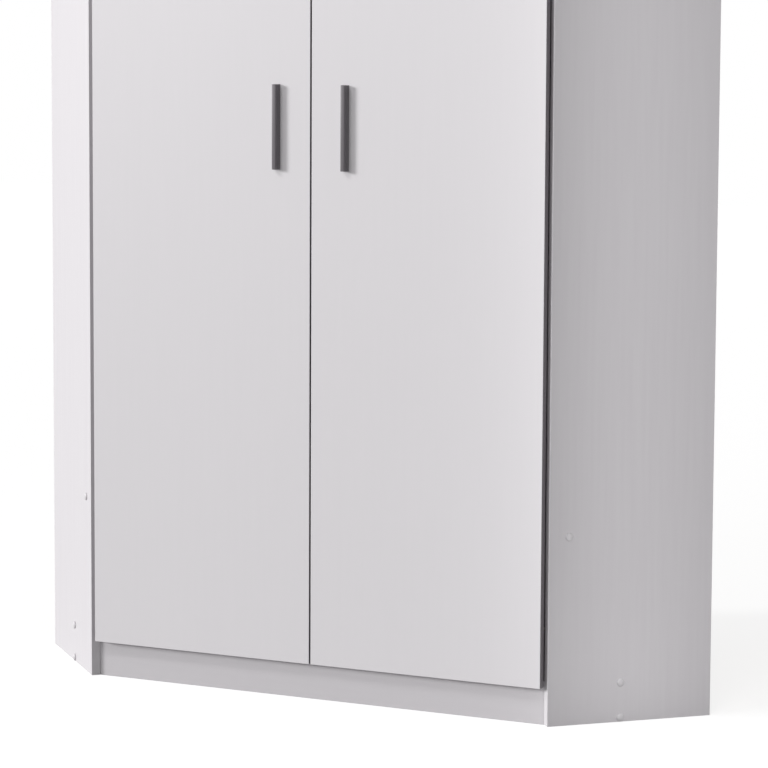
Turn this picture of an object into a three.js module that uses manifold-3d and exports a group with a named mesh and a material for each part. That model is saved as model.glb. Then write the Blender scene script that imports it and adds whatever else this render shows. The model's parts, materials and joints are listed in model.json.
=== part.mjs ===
// A corner wardrobe with two doors, five-sided in plan and made of coated board.
// Millimetres, +Z up. The front faces -Y, and the two room walls meet behind it on +Y.
import * as THREE from 'three';
import { mergeVertices } from 'three/addons/utils/BufferGeometryUtils.js';
import Module from 'manifold-3d';

const wasm = await Module();
wasm.setup();

// The carcass
const wallLength = 950;         // along each wall, from the room corner to the side panel's outer face
const sideDepth = 305;          // side panel, square to its wall
const height = 1980;
const board = 16;               // coated board of the carcass, the plinth and the doors
const backBoard = 3;            // hard board of the back panels
const fit = 0.3;                // gap kept between pieces that are screwed together
const rebateWidth = 8;          // step in a side panel's rear edge that takes the back panel
const backTopStep = 2;          // the back panels end this far under the top
const plinthHeight = 61;
const plinthSetback = 0.5;      // behind the bottom board's front edge
const lowerShelfZ = 320;        // underside of the lower shelf
const hatRoom = 298;            // clear height between the hat shelf and the top board
const shelfSetback = 10;        // shelves behind the front edges of the bottom and top boards
const postWidth = 120;          // the corner post's front face
const railWidth = 90;           // the flat rail that lies on the floor
const screwBack = 135;          // screws of the bottom and top boards, behind the side's front edge
const frontLine = 37;           // screws of the shelves and the hinge plates, on the same scale

// The doors
const doorReveal = 11.5;        // from the side panel's outer front corner to the door's edge
const doorBottom = 66;
const doorTopStep = 5;          // below the top of the sides
const doorStandOff = 2;         // between a door's back and the carcass
const doorGap = 3;              // between the two doors
const padRadius = 4;
const padInset = 30;            // stop pads, in from a door's free edge

// The handles: bars with a crowned front, square ends and a cove along each side as the grip
const handleLength = 149;
const handleCentreZ = 1016.5;
const handleInset = 65.9;       // from a door's free edge to the middle of the bar
const handleBase = 13.7;        // width against the door
const handleFront = 7.8;        // width of the crowned front
const handleHeight = 12;
const handleFlange = 1.2;       // thickness of the edges against the door, under the coves
const handleNeck = 7;           // width where the coves end
const handleNeckRise = 8.2;     // and how far over the door that is
const handleCrown = 0.35;
const handleRound = 0.8;        // rounding of the two front edges

// Connecting screws, with a domed cap over the head
const screwLength = 50;
const screwShank = 3.5;         // radii
const screwThread = 2.4;
const screwHead = 4.8;
const screwHeadDepth = 2.2;
const screwPoint = 4;
const capRadius = 7;
const capHeight = 4;
const capRim = 0.8;             // upright edge of the cap, under its dome
const boreClearance = 0.3;

// The clothes rail under the hat shelf
const tubeRadius = 12.5;
const tubeWall = 1.2;
const tubeLength = 800;
const tubeY = 310;              // behind the line of the side panels' front corners
const tubeDrop = 48;            // axis below the hat shelf
const socketWall = 2.5;
const socketDepth = 14;
const bracketPlate = 3;
const bracketPlateSize = 38;
const bracketNeck = 20;

// The corner hinges. Their plan places count from the door's front outer corner: in along
// the front, then outwards from the wardrobe.
const hingeEndStep = 100;       // first and last hinge, from the door's ends
const swingIn = 6;              // the axis that the door turns about
const swingOut = -5;
const armPinIn = 31;            // pin at the arm's tip
const armPinOut = -13;
const cupEyeIn = 10.7;          // far end of the link, in the cup
const cupEyeOut = -11;
const linkNeckIn = 13;          // the link bows towards the cup's floor between these two places
const linkNeckOut = -8;
const linkElbowIn = 25;
const linkElbowOut = -9.5;
const cupRadius = 17.5;
const cupDepth = 11.5;
const cupWall = 0.9;
const cupEdge = 5;              // board left between the cup's bore and the door's edge
const flangeSheet = 1.4;
const flangeRadius = 19.5;
const flangeScrewSpan = 48;     // between the cup's two screws
const flangeScrewStep = 6;      // screws further in than the cup's middle
const flangeEarRadius = 6.5;
const hingeScrewHead = 3.6;
const hingeScrewRise = 1.3;
const plateSheet = 2;
const plateWing = 50;           // across the wings, up and down
const plateWingWidth = 12;
const plateScrewSpan = 32;
const saddleStart = 27;         // along the side panel, behind its front edge
const saddleEnd = 62;
const saddleHeight = 7;
const saddleWidth = 9;
const armSheet = 1.6;
const armStart = 20;            // where the arm's channel begins, and where it ends
const armEnd = 70;
const armRise = 11;             // over the side panel's inner face
const armNoseWidth = 7;
const armTipRadius = 3.6;
const armScrewBack = 46;
const linkSheet = 1.2;
const linkEyeRadius = 3;
const linkEndRadius = 1.7;
const linkPlay = 0.4;
const linkBridgeShare = 0.3;    // part of the link's length that joins its two cheeks
const linkSteps = 6;
const pinRadius = 1.6;

// Facets round a circle
const screwSides = 12;
const cupSides = 28;
const tubeSides = 24;
const pinSides = 8;
const coveSteps = 5;
const crownSteps = 3;
const overrun = 1;              // cutters run past the surface that they open

// Worked out from the sizes above
const diagonal = Math.SQRT1_2;  // sine and cosine of 45 degrees
const frontHalf = (wallLength - sideDepth) * diagonal;
const cornerY = (wallLength + sideDepth) * diagonal;
const carcassFront = board * diagonal;
const doorBack = carcassFront - doorStandOff;
const doorFront = doorBack - board;
const doorTop = height - doorTopStep;
const bottomTop = plinthHeight + board;
const topUnder = height - board;
const hatShelfZ = topUnder - hatRoom - board;
const wallGap = backBoard + fit;
const sideGap = board + fit;
const postFront = cornerY - wallGap / diagonal - postWidth / 2;
const cupMiddle = doorReveal + cupEdge + cupRadius;
const hingeLevels = {
  low: doorBottom + hingeEndStep,
  middle: (doorBottom + doorTop) / 2,
  high: doorTop - hingeEndStep,
};
const screwPlaces = {
  base_rail: { back: screwBack, z: board / 2 },
  bottom_board: { back: screwBack, z: plinthHeight + board / 2 },
  lower_shelf: { back: frontLine, z: lowerShelfZ + board / 2 },
  hat_shelf: { back: frontLine, z: hatShelfZ + board / 2 },
  top_board: { back: screwBack, z: topUnder + board / 2 },
};
const sides = { left: -1, right: 1 };

const whiteBoard = { color: 0xdfdde0, roughness: 0.55, metalness: 0 };
const hardBoard = { color: 0xd9d7d6, roughness: 0.7, metalness: 0 };
const greyBar = { color: 0x77757a, roughness: 0.42, metalness: 0.1 };
const nickel = { color: 0xb9bbbd, roughness: 0.3, metalness: 1 };
const whiteCap = { color: 0xe4e2e4, roughness: 0.4, metalness: 0 };
const clearPad = { color: 0xe8e8e6, roughness: 0.5, metalness: 0 };

// Plan points
function atFront(side, edgeIn, outwards) {
  return [side * (frontHalf - edgeIn), -outwards];
}

function atSide(side, back, inward) {
  return [side * (frontHalf + (back - inward) * diagonal), (back + inward) * diagonal];
}

function atWall(side, fromCorner, inward) {
  return [side * (fromCorner - inward) * diagonal, cornerY - (fromCorner + inward) * diagonal];
}

function atDoor(side, edgeIn, outwards) {
  return atFront(side, doorReveal + edgeIn, outwards - doorFront);
}

// Half width of the room between the side panels, at a depth y behind their front corners
function halfBetweenSides(y) {
  return frontHalf + y - sideGap / diagonal;
}

// Solids
function solidOf(geometry) {
  let merged = geometry.clone();
  merged.deleteAttribute('normal');
  merged.deleteAttribute('uv');
  merged = mergeVertices(merged);
  const corners = merged.index.array;
  const kept = [];
  for (let i = 0; i < corners.length; i += 3) {
    const [a, b, c] = [corners[i], corners[i + 1], corners[i + 2]];
    if (a !== b && b !== c && c !== a) kept.push(a, b, c);
  }
  const mesh = new wasm.Mesh({
    numProp: 3,
    vertProperties: new Float32Array(merged.attributes.position.array),
    triVerts: new Uint32Array(kept),
  });
  return new wasm.Manifold(mesh);
}

function geometryOf(solid) {
  const mesh = solid.getMesh();
  const geometry = new THREE.BufferGeometry();
  geometry.setAttribute('position', new THREE.BufferAttribute(mesh.vertProperties, 3));
  geometry.setIndex(new THREE.BufferAttribute(mesh.triVerts, 1));
  const flat = geometry.toNonIndexed();
  flat.computeVertexNormals();
  return flat;
}

function shapeOf(points) {
  return new THREE.Shape(points.map(([x, y]) => new THREE.Vector2(x, y)));
}

// An upright solid over a plan outline, from one height to another
function upright(outline, low, high) {
  const shape = outline instanceof THREE.Shape ? outline : shapeOf(outline);
  const geometry = new THREE.ExtrudeGeometry(shape, { depth: high - low, bevelEnabled: false });
  geometry.translate(0, 0, low);
  return solidOf(geometry);
}

// A round solid about an axis: profile points give the radius and the place along the axis
function turned(profile, segments) {
  const points = profile.map(([radius, along]) => new THREE.Vector2(radius, along));
  return new THREE.LatheGeometry(points, segments);
}

// The lathe's axis is Y. This lays it across a side panel, pointing in from the outer face.
function acrossSide(geometry, side, back, z) {
  const placed = geometry.clone();
  placed.rotateZ(side * Math.PI / 4);
  const [x, y] = atSide(side, back, 0);
  placed.translate(x, y, z);
  return solidOf(placed);
}

// The same axis along the depth of the wardrobe, pointing back from a plan point
function alongDepth(geometry, [x, y], z) {
  const placed = geometry.clone();
  placed.translate(x, y, z);
  return solidOf(placed);
}

function uprightPin([x, y], radius, low, high, segments = pinSides) {
  const geometry = new THREE.CylinderGeometry(radius, radius, high - low, segments);
  geometry.rotateX(Math.PI / 2);
  geometry.translate(x, y, (low + high) / 2);
  return solidOf(geometry);
}

// A plan outline round two circles of different radii
function eyeToEye([ax, ay], ra, [bx, by], rb, steps = pinSides) {
  const turn = Math.atan2(by - ay, bx - ax);
  const lean = Math.acos((ra - rb) / Math.hypot(bx - ax, by - ay));
  const points = [];
  for (let i = 0; i <= steps; i++) {
    const angle = turn - lean + (2 * lean * i) / steps;
    points.push([bx + rb * Math.cos(angle), by + rb * Math.sin(angle)]);
  }
  for (let i = 0; i <= steps; i++) {
    const angle = turn + lean + (2 * (Math.PI - lean) * i) / steps;
    points.push([ax + ra * Math.cos(angle), ay + ra * Math.sin(angle)]);
  }
  return points;
}

const wardrobe = new THREE.Group();
const handleFace = doorFront - handleHeight;
wardrobe.position.y = -(cornerY + handleFace) / 2;

function place(name, solid, finish) {
  const mesh = new THREE.Mesh(geometryOf(solid), new THREE.MeshStandardMaterial(finish));
  mesh.name = name;
  wardrobe.add(mesh);
}

// Connecting screws
function screwBore() {
  const shank = screwShank + boreClearance;
  const thread = screwThread + boreClearance;
  const head = screwHead + boreClearance;
  const seat = screwHeadDepth + boreClearance;
  return turned([
    [0, -overrun],
    [head, -overrun],
    [head, 0],
    [shank, seat],
    [shank, board],
    [thread, board + fit],
    [thread, screwLength + overrun],
    [0, screwLength + overrun],
  ], screwSides);
}

function cappedScrew() {
  const seat = -fit / 2;
  const dome = [];
  const domeSteps = 4;
  for (let i = 0; i <= domeSteps; i++) {
    const angle = (Math.PI / 2) * (1 - i / domeSteps);
    dome.push([capRadius * Math.cos(angle), seat - capRim - (capHeight - capRim) * Math.sin(angle)]);
  }
  return turned([
    ...dome,
    [capRadius, seat],
    [screwHead, seat],
    [screwHead, 0],
    [screwShank, screwHeadDepth],
    [screwShank, board],
    [screwThread, board + fit],
    [screwThread, screwLength - screwPoint],
    [0, screwLength],
  ], screwSides);
}

function boreFor(side, name) {
  const { back, z } = screwPlaces[name];
  return acrossSide(screwBore(), side, back, z);
}

function boredFromBothSides(solid, name) {
  return solid.subtract(boreFor(sides.left, name)).subtract(boreFor(sides.right, name));
}

// The carcass boards
function sidePanel(side) {
  const rebateDepth = backBoard + fit;
  const outline = [
    atSide(side, 0, 0),
    atSide(side, sideDepth, 0),
    atSide(side, sideDepth, board - rebateWidth),
    atSide(side, sideDepth - rebateDepth, board - rebateWidth),
    atSide(side, sideDepth - rebateDepth, board),
    atSide(side, 0, board),
  ];
  let solid = upright(outline, 0, height);
  for (const name of Object.keys(screwPlaces)) {
    solid = solid.subtract(boreFor(side, name));
  }
  return solid;
}

// Outline of a board between the sides, from its front edge back to the walls. A shelf is
// cut off straight in front of the corner post.
function boardOutline(front, cutBack) {
  const wallMeet = cornerY - wallGap / diagonal;
  const half = (side) => {
    const points = [
      [side * halfBetweenSides(front), front],
      atSide(side, sideDepth - wallGap, sideGap),
    ];
    if (cutBack < wallMeet) points.push([side * (wallMeet - cutBack), cutBack]);
    return points;
  };
  const tip = cutBack < wallMeet ? [] : [[0, wallMeet]];
  return [...half(sides.right), ...tip, ...half(sides.left).reverse()];
}

function fullBoard(name, low) {
  return boredFromBothSides(upright(boardOutline(carcassFront, cornerY), low, low + board), name);
}

function shelf(name, low) {
  const outline = boardOutline(carcassFront + shelfSetback, postFront - fit);
  return boredFromBothSides(upright(outline, low, low + board), name);
}

// A straight board between the sides, parallel to the front, with ends cut to meet them
function crossBoard(front, depth, low, high) {
  const outline = [
    [-halfBetweenSides(front), front],
    [halfBetweenSides(front), front],
    [halfBetweenSides(front + depth), front + depth],
    [-halfBetweenSides(front + depth), front + depth],
  ];
  return upright(outline, low, high);
}

const railMiddle = (screwBack + board) * diagonal;
const railFront = railMiddle - railWidth / 2;

function centreSupport() {
  const half = board / 2;
  const outline = [
    [-half, railFront],
    [half, railFront],
    [half, railFront + railWidth],
    [-half, railFront + railWidth],
  ];
  return upright(outline, board + fit, plinthHeight - fit);
}

function cornerPost() {
  const half = postWidth / 2;
  const outline = [
    [-half, postFront],
    [half, postFront],
    [half - board, postFront + board],
    [board - half, postFront + board],
  ];
  return upright(outline, bottomTop + fit, topUnder - fit);
}

// The left back panel runs into the corner and the right one butts against it
function backPanel(side) {
  const start = side === sides.left ? 0 : backBoard + fit;
  const end = wallLength - (board - rebateWidth) - fit;
  const outline = [
    atWall(side, start, 0),
    atWall(side, end, 0),
    atWall(side, end, backBoard),
    atWall(side, start, backBoard),
  ];
  return upright(outline, plinthHeight, height - backTopStep);
}

place('bottom_board', fullBoard('bottom_board', plinthHeight), whiteBoard);
place('top_board', fullBoard('top_board', topUnder), whiteBoard);
place('lower_shelf', shelf('lower_shelf', lowerShelfZ), whiteBoard);
place('hat_shelf', shelf('hat_shelf', hatShelfZ), whiteBoard);
place('plinth', crossBoard(carcassFront + plinthSetback, board, 0, plinthHeight - fit), whiteBoard);
place('base_rail', boredFromBothSides(crossBoard(railFront, railWidth, 0, board), 'base_rail'), whiteBoard);
place('centre_support', centreSupport(), whiteBoard);
place('corner_post', cornerPost(), whiteBoard);
for (const [word, side] of Object.entries(sides)) {
  place(`${word}_side`, sidePanel(side), whiteBoard);
  place(`${word}_back_panel`, backPanel(side), hardBoard);
  for (const [name, { back, z }] of Object.entries(screwPlaces)) {
    place(`${word}_screw_${name}`, acrossSide(cappedScrew(), side, back, z), whiteCap);
  }
}

// The clothes rail and its brackets
const tubeZ = hatShelfZ - tubeDrop;

function clothesRail() {
  const half = tubeLength / 2;
  const inner = tubeRadius - tubeWall;
  const ring = turned([
    [tubeRadius, -half],
    [tubeRadius, half],
    [inner, half],
    [inner, -half],
    [tubeRadius, -half],
  ], tubeSides);
  ring.rotateZ(-Math.PI / 2);
  ring.translate(0, tubeY, tubeZ);
  return solidOf(ring);
}

function railBracket(side) {
  const outer = tubeRadius + fit + socketWall;
  const bore = tubeRadius + fit;
  const closedEnd = tubeLength / 2 + fit;
  const mouth = closedEnd - socketDepth;
  const cup = turned([
    [0, closedEnd + socketWall],
    [outer, closedEnd + socketWall],
    [outer, mouth],
    [bore, mouth],
    [bore, closedEnd],
    [0, closedEnd],
  ].reverse(), tubeSides);
  cup.rotateZ(-side * Math.PI / 2);
  cup.translate(0, tubeY, tubeZ);
  const plateTop = hatShelfZ - fit;
  const middle = (mouth + closedEnd + socketWall) / 2;
  const plate = new THREE.BoxGeometry(bracketPlateSize, bracketPlateSize, bracketPlate);
  plate.translate(side * middle, tubeY, plateTop - bracketPlate / 2);
  const neckHeight = plateTop - tubeZ - bore - socketWall / 2;
  const neck = new THREE.BoxGeometry(closedEnd + socketWall - mouth, bracketNeck, neckHeight);
  neck.translate(side * middle, tubeY, plateTop - neckHeight / 2);
  return solidOf(cup).add(solidOf(plate)).add(solidOf(neck));
}

place('clothes_rail', clothesRail(), nickel);
for (const [word, side] of Object.entries(sides)) {
  place(`${word}_rail_bracket`, railBracket(side), nickel);
}

// The doors, with a bore for each hinge cup
function door(side) {
  const outline = [
    atFront(side, doorReveal, -doorFront),
    atFront(side, frontHalf - doorGap / 2, -doorFront),
    atFront(side, frontHalf - doorGap / 2, -doorBack),
    atFront(side, doorReveal, -doorBack),
  ];
  let solid = upright(outline, doorBottom, doorTop);
  const bore = new THREE.CylinderGeometry(cupRadius, cupRadius, cupDepth + fit + overrun, cupSides);
  bore.translate(0, (overrun - cupDepth - fit) / 2, 0);
  for (const z of Object.values(hingeLevels)) {
    solid = solid.subtract(alongDepth(bore, atFront(side, cupMiddle, -doorBack), z));
  }
  return solid;
}

// Section of a handle, drawn round the middle of its base
function handleSection() {
  const half = handleBase / 2;
  const neck = handleNeck / 2;
  const front = handleFront / 2;
  const right = [[half, 0]];
  for (let i = 0; i <= coveSteps; i++) {
    const angle = (Math.PI / 2) * (1 - i / coveSteps);
    const x = half - (half - neck) * Math.cos(angle);
    right.push([x, handleNeckRise - (handleNeckRise - handleFlange) * Math.sin(angle)]);
  }
  const corner = handleRound * (1 - diagonal);
  const shoulder = handleHeight - handleCrown;
  right.push([front, shoulder - handleRound]);
  right.push([front - corner, shoulder - corner]);
  for (let i = 0; i < crownSteps; i++) {
    const share = 1 - i / crownSteps;
    right.push([(front - handleRound) * share, handleHeight - handleCrown * share ** 2]);
  }
  const left = right.map(([x, rise]) => [-x, rise]).reverse();
  return [...right, [0, handleHeight], ...left];
}

function handle(side) {
  const [middle, base] = atFront(side, frontHalf - doorGap / 2 - handleInset, -doorFront);
  const outline = handleSection().map(([x, rise]) => [middle + x, base - rise]);
  return upright(outline, handleCentreZ - handleLength / 2, handleCentreZ + handleLength / 2);
}

function stopPad(side, z) {
  const thickness = doorStandOff - 2 * fit;
  const disc = new THREE.CylinderGeometry(padRadius, padRadius, thickness, screwSides);
  disc.translate(0, fit + thickness / 2, 0);
  return alongDepth(disc, atFront(side, frontHalf - doorGap / 2 - padInset, -doorBack), z);
}

for (const [word, side] of Object.entries(sides)) {
  place(`${word}_door`, door(side), whiteBoard);
  place(`${word}_handle`, handle(side), greyBar);
  place(`${word}_pad_low`, stopPad(side, (doorBottom + bottomTop) / 2), clearPad);
  place(`${word}_pad_high`, stopPad(side, (topUnder + doorTop) / 2), clearPad);
}

// The corner hinges
function hingeCup(side, z) {
  const outer = cupRadius - fit;
  const inner = outer - cupWall;
  const sheetTop = fit + flangeSheet;
  const centre = atFront(side, cupMiddle, -doorBack);
  const bowl = turned([
    [0, -cupDepth],
    [outer, -cupDepth],
    [outer, fit],
    [flangeRadius, fit],
    [flangeRadius, sheetTop],
    [inner, sheetTop],
    [inner, cupWall - cupDepth],
    [0, cupWall - cupDepth],
  ], cupSides);
  let solid = alongDepth(bowl, centre, z);
  const mouth = new THREE.CylinderGeometry(inner, inner, cupDepth, cupSides);
  mouth.translate(0, cupDepth / 2 - fit, 0);
  const earMiddle = atFront(side, cupMiddle + flangeScrewStep, -doorBack);
  const strap = new THREE.BoxGeometry(2 * flangeEarRadius, flangeSheet, flangeScrewSpan);
  strap.translate(0, fit + flangeSheet / 2, 0);
  let ears = alongDepth(strap, earMiddle, z);
  const ear = new THREE.CylinderGeometry(flangeEarRadius, flangeEarRadius, flangeSheet, screwSides);
  ear.translate(0, fit + flangeSheet / 2, 0);
  const head = new THREE.CylinderGeometry(
    hingeScrewHead - hingeScrewRise, hingeScrewHead, hingeScrewRise + fit, screwSides);
  head.translate(0, sheetTop + (hingeScrewRise - fit) / 2, 0);
  for (const end of [-flangeScrewSpan / 2, flangeScrewSpan / 2]) {
    ears = ears.add(alongDepth(ear, earMiddle, z + end));
    ears = ears.add(alongDepth(head, earMiddle, z + end));
  }
  solid = solid.add(ears.subtract(alongDepth(mouth, centre, z)));
  return solid;
}

// A box on a side panel's inner face, between two places along it and two heights over it
function onSide(side, start, end, low, high, z, width) {
  const outline = [
    atSide(side, start, board + low),
    atSide(side, end, board + low),
    atSide(side, end, board + high),
    atSide(side, start, board + high),
  ];
  return upright(outline, z - width / 2, z + width / 2);
}

function screwHeadOnSide(side, back, rise, z) {
  const low = board + rise;
  const head = turned([
    [0, low - fit],
    [hingeScrewHead, low - fit],
    [hingeScrewHead, low],
    [hingeScrewHead - hingeScrewRise, low + hingeScrewRise],
    [0, low + hingeScrewRise],
  ], screwSides);
  return acrossSide(head, side, back, z);
}

function mountingPlate(side, z) {
  const sheetTop = fit + plateSheet;
  const wingFront = frontLine - plateWingWidth / 2;
  const wingBack = frontLine + plateWingWidth / 2;
  let solid = onSide(side, wingFront, wingBack, fit, sheetTop, z, plateWing);
  const foot = saddleWidth + 2 * armSheet + 2 * fit;
  solid = solid.add(onSide(side, saddleStart, saddleEnd, fit, sheetTop, z, foot));
  solid = solid.add(onSide(side, saddleStart, saddleEnd, fit, saddleHeight, z, saddleWidth));
  for (const end of [-plateScrewSpan / 2, plateScrewSpan / 2]) {
    solid = solid.add(screwHeadOnSide(side, frontLine, sheetTop, z + end));
  }
  return solid;
}

// The arm: a channel over the plate's saddle, and a nose that reaches into the cup
function hingeArm(side, z) {
  const low = plateSheet + 2 * fit;
  const width = saddleWidth + 2 * fit + 2 * armSheet;
  let solid = onSide(side, armStart, armEnd, low, armRise, z, width);
  const cavity = onSide(
    side, saddleStart - overrun, armEnd + overrun, low - overrun, armRise - armSheet, z, saddleWidth + 2 * fit);
  solid = solid.subtract(cavity);
  const tip = atDoor(side, armPinIn, armPinOut);
  const root = atSide(side, armStart, board + (low + armRise) / 2);
  const nose = eyeToEye(tip, armTipRadius, root, (armRise - low) / 2);
  const half = armNoseWidth / 2;
  solid = solid.add(upright(nose, z - half, z + half));
  const reach = half + linkPlay + linkSheet;
  solid = solid.add(uprightPin(tip, pinRadius, z - reach, z + reach));
  solid = solid.add(screwHeadOnSide(side, armScrewBack, armRise, z));
  return solid;
}

// The link: two bowed cheeks on the arm's pin, joined by a web at the end that lies in the cup
function linkCurve(side) {
  const places = [
    atDoor(side, cupEyeIn, cupEyeOut),
    atDoor(side, linkNeckIn, linkNeckOut),
    atDoor(side, linkElbowIn, linkElbowOut),
    atDoor(side, armPinIn, armPinOut),
  ];
  return new THREE.SplineCurve(places.map(([x, y]) => new THREE.Vector2(x, y)));
}

// Outline of a band along a curve, from its start to a share of its length, with round ends
function bandOutline(curve, share, startHalf, endHalf) {
  const left = [];
  const right = [];
  for (let i = 0; i <= linkSteps; i++) {
    const t = (share * i) / linkSteps;
    const { x, y } = curve.getPoint(t);
    const along = curve.getTangent(t);
    const half = startHalf + ((endHalf - startHalf) * i) / linkSteps;
    left.push([x - half * along.y, y + half * along.x]);
    right.push([x + half * along.y, y - half * along.x]);
  }
  const cap = (t, half, sense) => {
    const { x, y } = curve.getPoint(t);
    const along = curve.getTangent(t);
    const heading = Math.atan2(sense * along.y, sense * along.x);
    const points = [];
    for (let i = 1; i < pinSides; i++) {
      const angle = heading - Math.PI / 2 + (Math.PI * i) / pinSides;
      points.push([x + half * Math.cos(angle), y + half * Math.sin(angle)]);
    }
    return points;
  };
  return [...right, ...cap(share, endHalf, 1), ...left.reverse(), ...cap(0, startHalf, -1)];
}

function hingeLink(side, z) {
  const curve = linkCurve(side);
  const cheek = bandOutline(curve, 1, linkEndRadius, linkEyeRadius);
  const inside = armNoseWidth / 2 + linkPlay;
  const outside = inside + linkSheet;
  let solid = upright(cheek, z - outside, z - inside);
  solid = solid.add(upright(cheek, z + inside, z + outside));
  const bore = pinRadius + linkPlay;
  const pin = atDoor(side, armPinIn, armPinOut);
  solid = solid.subtract(uprightPin(pin, bore, z - outside - overrun, z + outside + overrun));
  const web = bandOutline(curve, linkBridgeShare, linkEndRadius, linkEndRadius);
  return solid.add(upright(web, z - outside, z + outside));
}

for (const [word, side] of Object.entries(sides)) {
  for (const [level, z] of Object.entries(hingeLevels)) {
    place(`${word}_hinge_cup_${level}`, hingeCup(side, z), nickel);
    place(`${word}_hinge_plate_${level}`, mountingPlate(side, z), nickel);
    place(`${word}_hinge_arm_${level}`, hingeArm(side, z), nickel);
    place(`${word}_hinge_link_${level}`, hingeLink(side, z), nickel);
  }
}

// Where the doors and links turn, in the finished frame
for (const [word, side] of Object.entries(sides)) {
  const [swingX, swingY] = atDoor(side, swingIn, swingOut);
  const [linkX, linkY] = atDoor(side, armPinIn, armPinOut);
  const shift = wardrobe.position.y;
  console.log(`${word} door turns about x ${swingX.toFixed(3)}, y ${(swingY + shift).toFixed(3)}`);
  console.log(`${word} links turn about x ${linkX.toFixed(3)}, y ${(linkY + shift).toFixed(3)}`);
}

export default wardrobe;
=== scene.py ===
# %% [markdown]
# A corner wardrobe of white coated board. Seen from above it has five sides: two back panels
# against the room walls, two side panels square to the walls, and a diagonal front with two doors.
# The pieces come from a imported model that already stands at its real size. They could be modelled
# again here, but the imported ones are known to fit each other, so this script only gives each one
# its finish, breaks its edges and adds the small fasteners.

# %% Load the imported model
import json
import math

import bmesh
import bpy
from mathutils import Matrix, Vector

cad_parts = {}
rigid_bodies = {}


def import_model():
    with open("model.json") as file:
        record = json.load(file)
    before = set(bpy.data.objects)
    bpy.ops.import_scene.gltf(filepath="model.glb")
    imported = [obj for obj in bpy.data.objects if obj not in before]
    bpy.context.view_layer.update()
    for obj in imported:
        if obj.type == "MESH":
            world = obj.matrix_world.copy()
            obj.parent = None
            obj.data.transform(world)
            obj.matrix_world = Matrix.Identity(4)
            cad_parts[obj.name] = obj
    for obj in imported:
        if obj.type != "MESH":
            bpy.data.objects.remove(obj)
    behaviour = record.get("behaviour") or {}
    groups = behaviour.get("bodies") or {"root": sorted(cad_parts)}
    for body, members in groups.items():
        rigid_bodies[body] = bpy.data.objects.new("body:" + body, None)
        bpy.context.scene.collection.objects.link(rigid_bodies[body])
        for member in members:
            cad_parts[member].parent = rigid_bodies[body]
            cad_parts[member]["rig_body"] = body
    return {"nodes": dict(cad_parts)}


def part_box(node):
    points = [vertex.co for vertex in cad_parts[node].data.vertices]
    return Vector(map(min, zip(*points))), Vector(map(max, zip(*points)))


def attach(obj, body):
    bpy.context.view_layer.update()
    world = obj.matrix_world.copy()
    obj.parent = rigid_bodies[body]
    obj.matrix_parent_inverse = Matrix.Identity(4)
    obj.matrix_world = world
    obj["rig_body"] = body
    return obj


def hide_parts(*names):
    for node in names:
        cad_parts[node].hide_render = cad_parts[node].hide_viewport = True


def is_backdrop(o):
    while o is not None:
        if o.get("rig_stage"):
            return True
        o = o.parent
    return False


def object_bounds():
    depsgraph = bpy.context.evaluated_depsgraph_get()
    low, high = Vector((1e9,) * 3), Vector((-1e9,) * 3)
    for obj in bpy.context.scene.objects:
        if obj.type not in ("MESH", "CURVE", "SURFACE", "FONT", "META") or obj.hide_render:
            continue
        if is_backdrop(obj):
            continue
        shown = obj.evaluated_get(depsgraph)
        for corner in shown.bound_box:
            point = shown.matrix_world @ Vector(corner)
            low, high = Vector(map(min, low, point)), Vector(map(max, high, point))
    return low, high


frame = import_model()
cad_low, cad_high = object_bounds()
nodes = frame["nodes"]
MM = 0.001
size = (cad_high - cad_low) / MM
print(f"the model measures {size.x:.0f} x {size.y:.0f} x {size.z:.0f} mm, in {len(nodes)} pieces")

# %% [markdown]
# The camera stands to the right of the wardrobe, at the height of a standing person's chest, and
# looks a little down. A short lens from close by would make the far edges lean together, so it is
# a long one from over five metres away. The picture shows the lower 1.2 m, so the wardrobe runs
# out of the frame at the top.

# %% Set the camera
CAMERA_PLACE = Vector((2.514, -5.248, 1.206))
CAMERA_TURN = -26.244           # degrees from looking along +Y, clockwise seen from above
CAMERA_DIP = 6.008              # degrees below the horizon
CAMERA_ROLL = 0.281             # degrees about the line of sight
CAMERA_LENS = 145.68            # millimetres, on a 36 mm wide sensor
CAMERA_SHIFT = -0.05            # of the frame's width, downwards

camera = bpy.data.objects.new("camera", bpy.data.cameras.new("camera"))
bpy.context.collection.objects.link(camera)
camera.data.lens = CAMERA_LENS
camera.data.shift_y = CAMERA_SHIFT
camera.location = CAMERA_PLACE
turn = math.radians(CAMERA_TURN)
dip = math.radians(CAMERA_DIP)
forward = Vector((math.sin(turn) * math.cos(dip), math.cos(turn) * math.cos(dip), -math.sin(dip)))
upright_look = forward.to_track_quat("-Z", "Y").to_matrix()
camera.rotation_euler = (upright_look @ Matrix.Rotation(math.radians(CAMERA_ROLL), 3, "Z")).to_euler()
bpy.context.scene.camera = camera
bpy.context.scene.view_settings.view_transform = "Standard"
distance = (CAMERA_PLACE - (cad_low + cad_high) / 2).length
print(f"the camera stands {distance:.1f} m from the middle of the wardrobe")

# %% [markdown]
# Colours are written as they look on a screen, in hexadecimal. Blender computes with linear
# values. Those could be typed in directly, but a screen colour is easier to compare with a picture,
# so one function turns each colour where it is used.

# %% Screen colours
def linear(hex_colour):
    """Linear red, green, blue and a full alpha, by the sRGB curve, from a colour such as "E6E5E6"."""
    channels = []
    for start in (0, 2, 4):
        value = int(hex_colour[start:start + 2], 16) / 255
        channels.append(value / 12.92 if value <= 0.04045 else ((value + 0.055) / 1.055) ** 2.4)
    return (*channels, 1.0)


print("E8E5E8 in linear values:", [round(channel, 3) for channel in linear("E8E5E8")])

# %% [markdown]
# A material is a tree of nodes that ends in one Principled shader. It could be wired by hand in the
# shader editor. Here one function adds a node, sets it and links it, whatever its kind, so that a
# material reads as a short list of what it is made of.

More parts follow.
